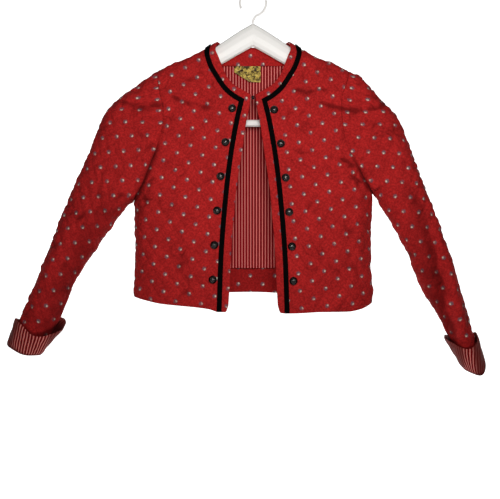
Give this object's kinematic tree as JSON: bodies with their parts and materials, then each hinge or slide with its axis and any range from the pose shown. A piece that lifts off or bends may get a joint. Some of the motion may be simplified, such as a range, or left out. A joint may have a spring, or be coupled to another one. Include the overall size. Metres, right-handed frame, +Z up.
{
  "type": "quilted trachten jacket on a clothes hanger",
  "caption": "Short quilted jacket with a round braid-edged neck, domed buttons, turned-back lined cuffs and open fronts, hung on a plain arched hanger.",
  "frame": {"origin": "bearing point inside the top of the hanger's hook, where a rail holds it", "axes": "+Z up, the jacket's front faces -Y, +X towards the wearer's left sleeve"},
  "size_m": [0.7141, 0.0821, 0.5766],
  "materials": {
    "cloth": "quilted cotton with small printed sprigs",
    "lining": "striped cotton",
    "facing": "printed cotton",
    "braid": "ribbed black ribbon",
    "label": "bare woven satin",
    "button": "darkened, domed",
    "hook_and_eye": "black",
    "hanger": "plain white"
  },
  "bodies": {
    "root": {"back": "cloth", "front_right": "cloth", "front_left": "cloth", "sleeve_right": "cloth", "sleeve_left": "cloth", "cuff_right": "lining", "cuff_left": "lining", "braid_right": "braid", "braid_left": "braid", "braid_neck": "braid", "back_neck_facing": "facing", "back_lining": "lining", "label": "label", "button_right_1": "button", "button_right_2": "button", "button_right_3": "button", "button_right_4": "button", "button_right_5": "button", "button_right_6": "button", "button_left_1": "button", "button_left_2": "button", "button_left_3": "button", "button_left_4": "button", "button_left_5": "button", "button_left_6": "button", "hook": "hook_and_eye", "eye": "hook_and_eye", "hanger_arms": "hanger", "hanger_bar": "hanger", "hanger_hook": "hanger"}
  },
  "joints": []
}
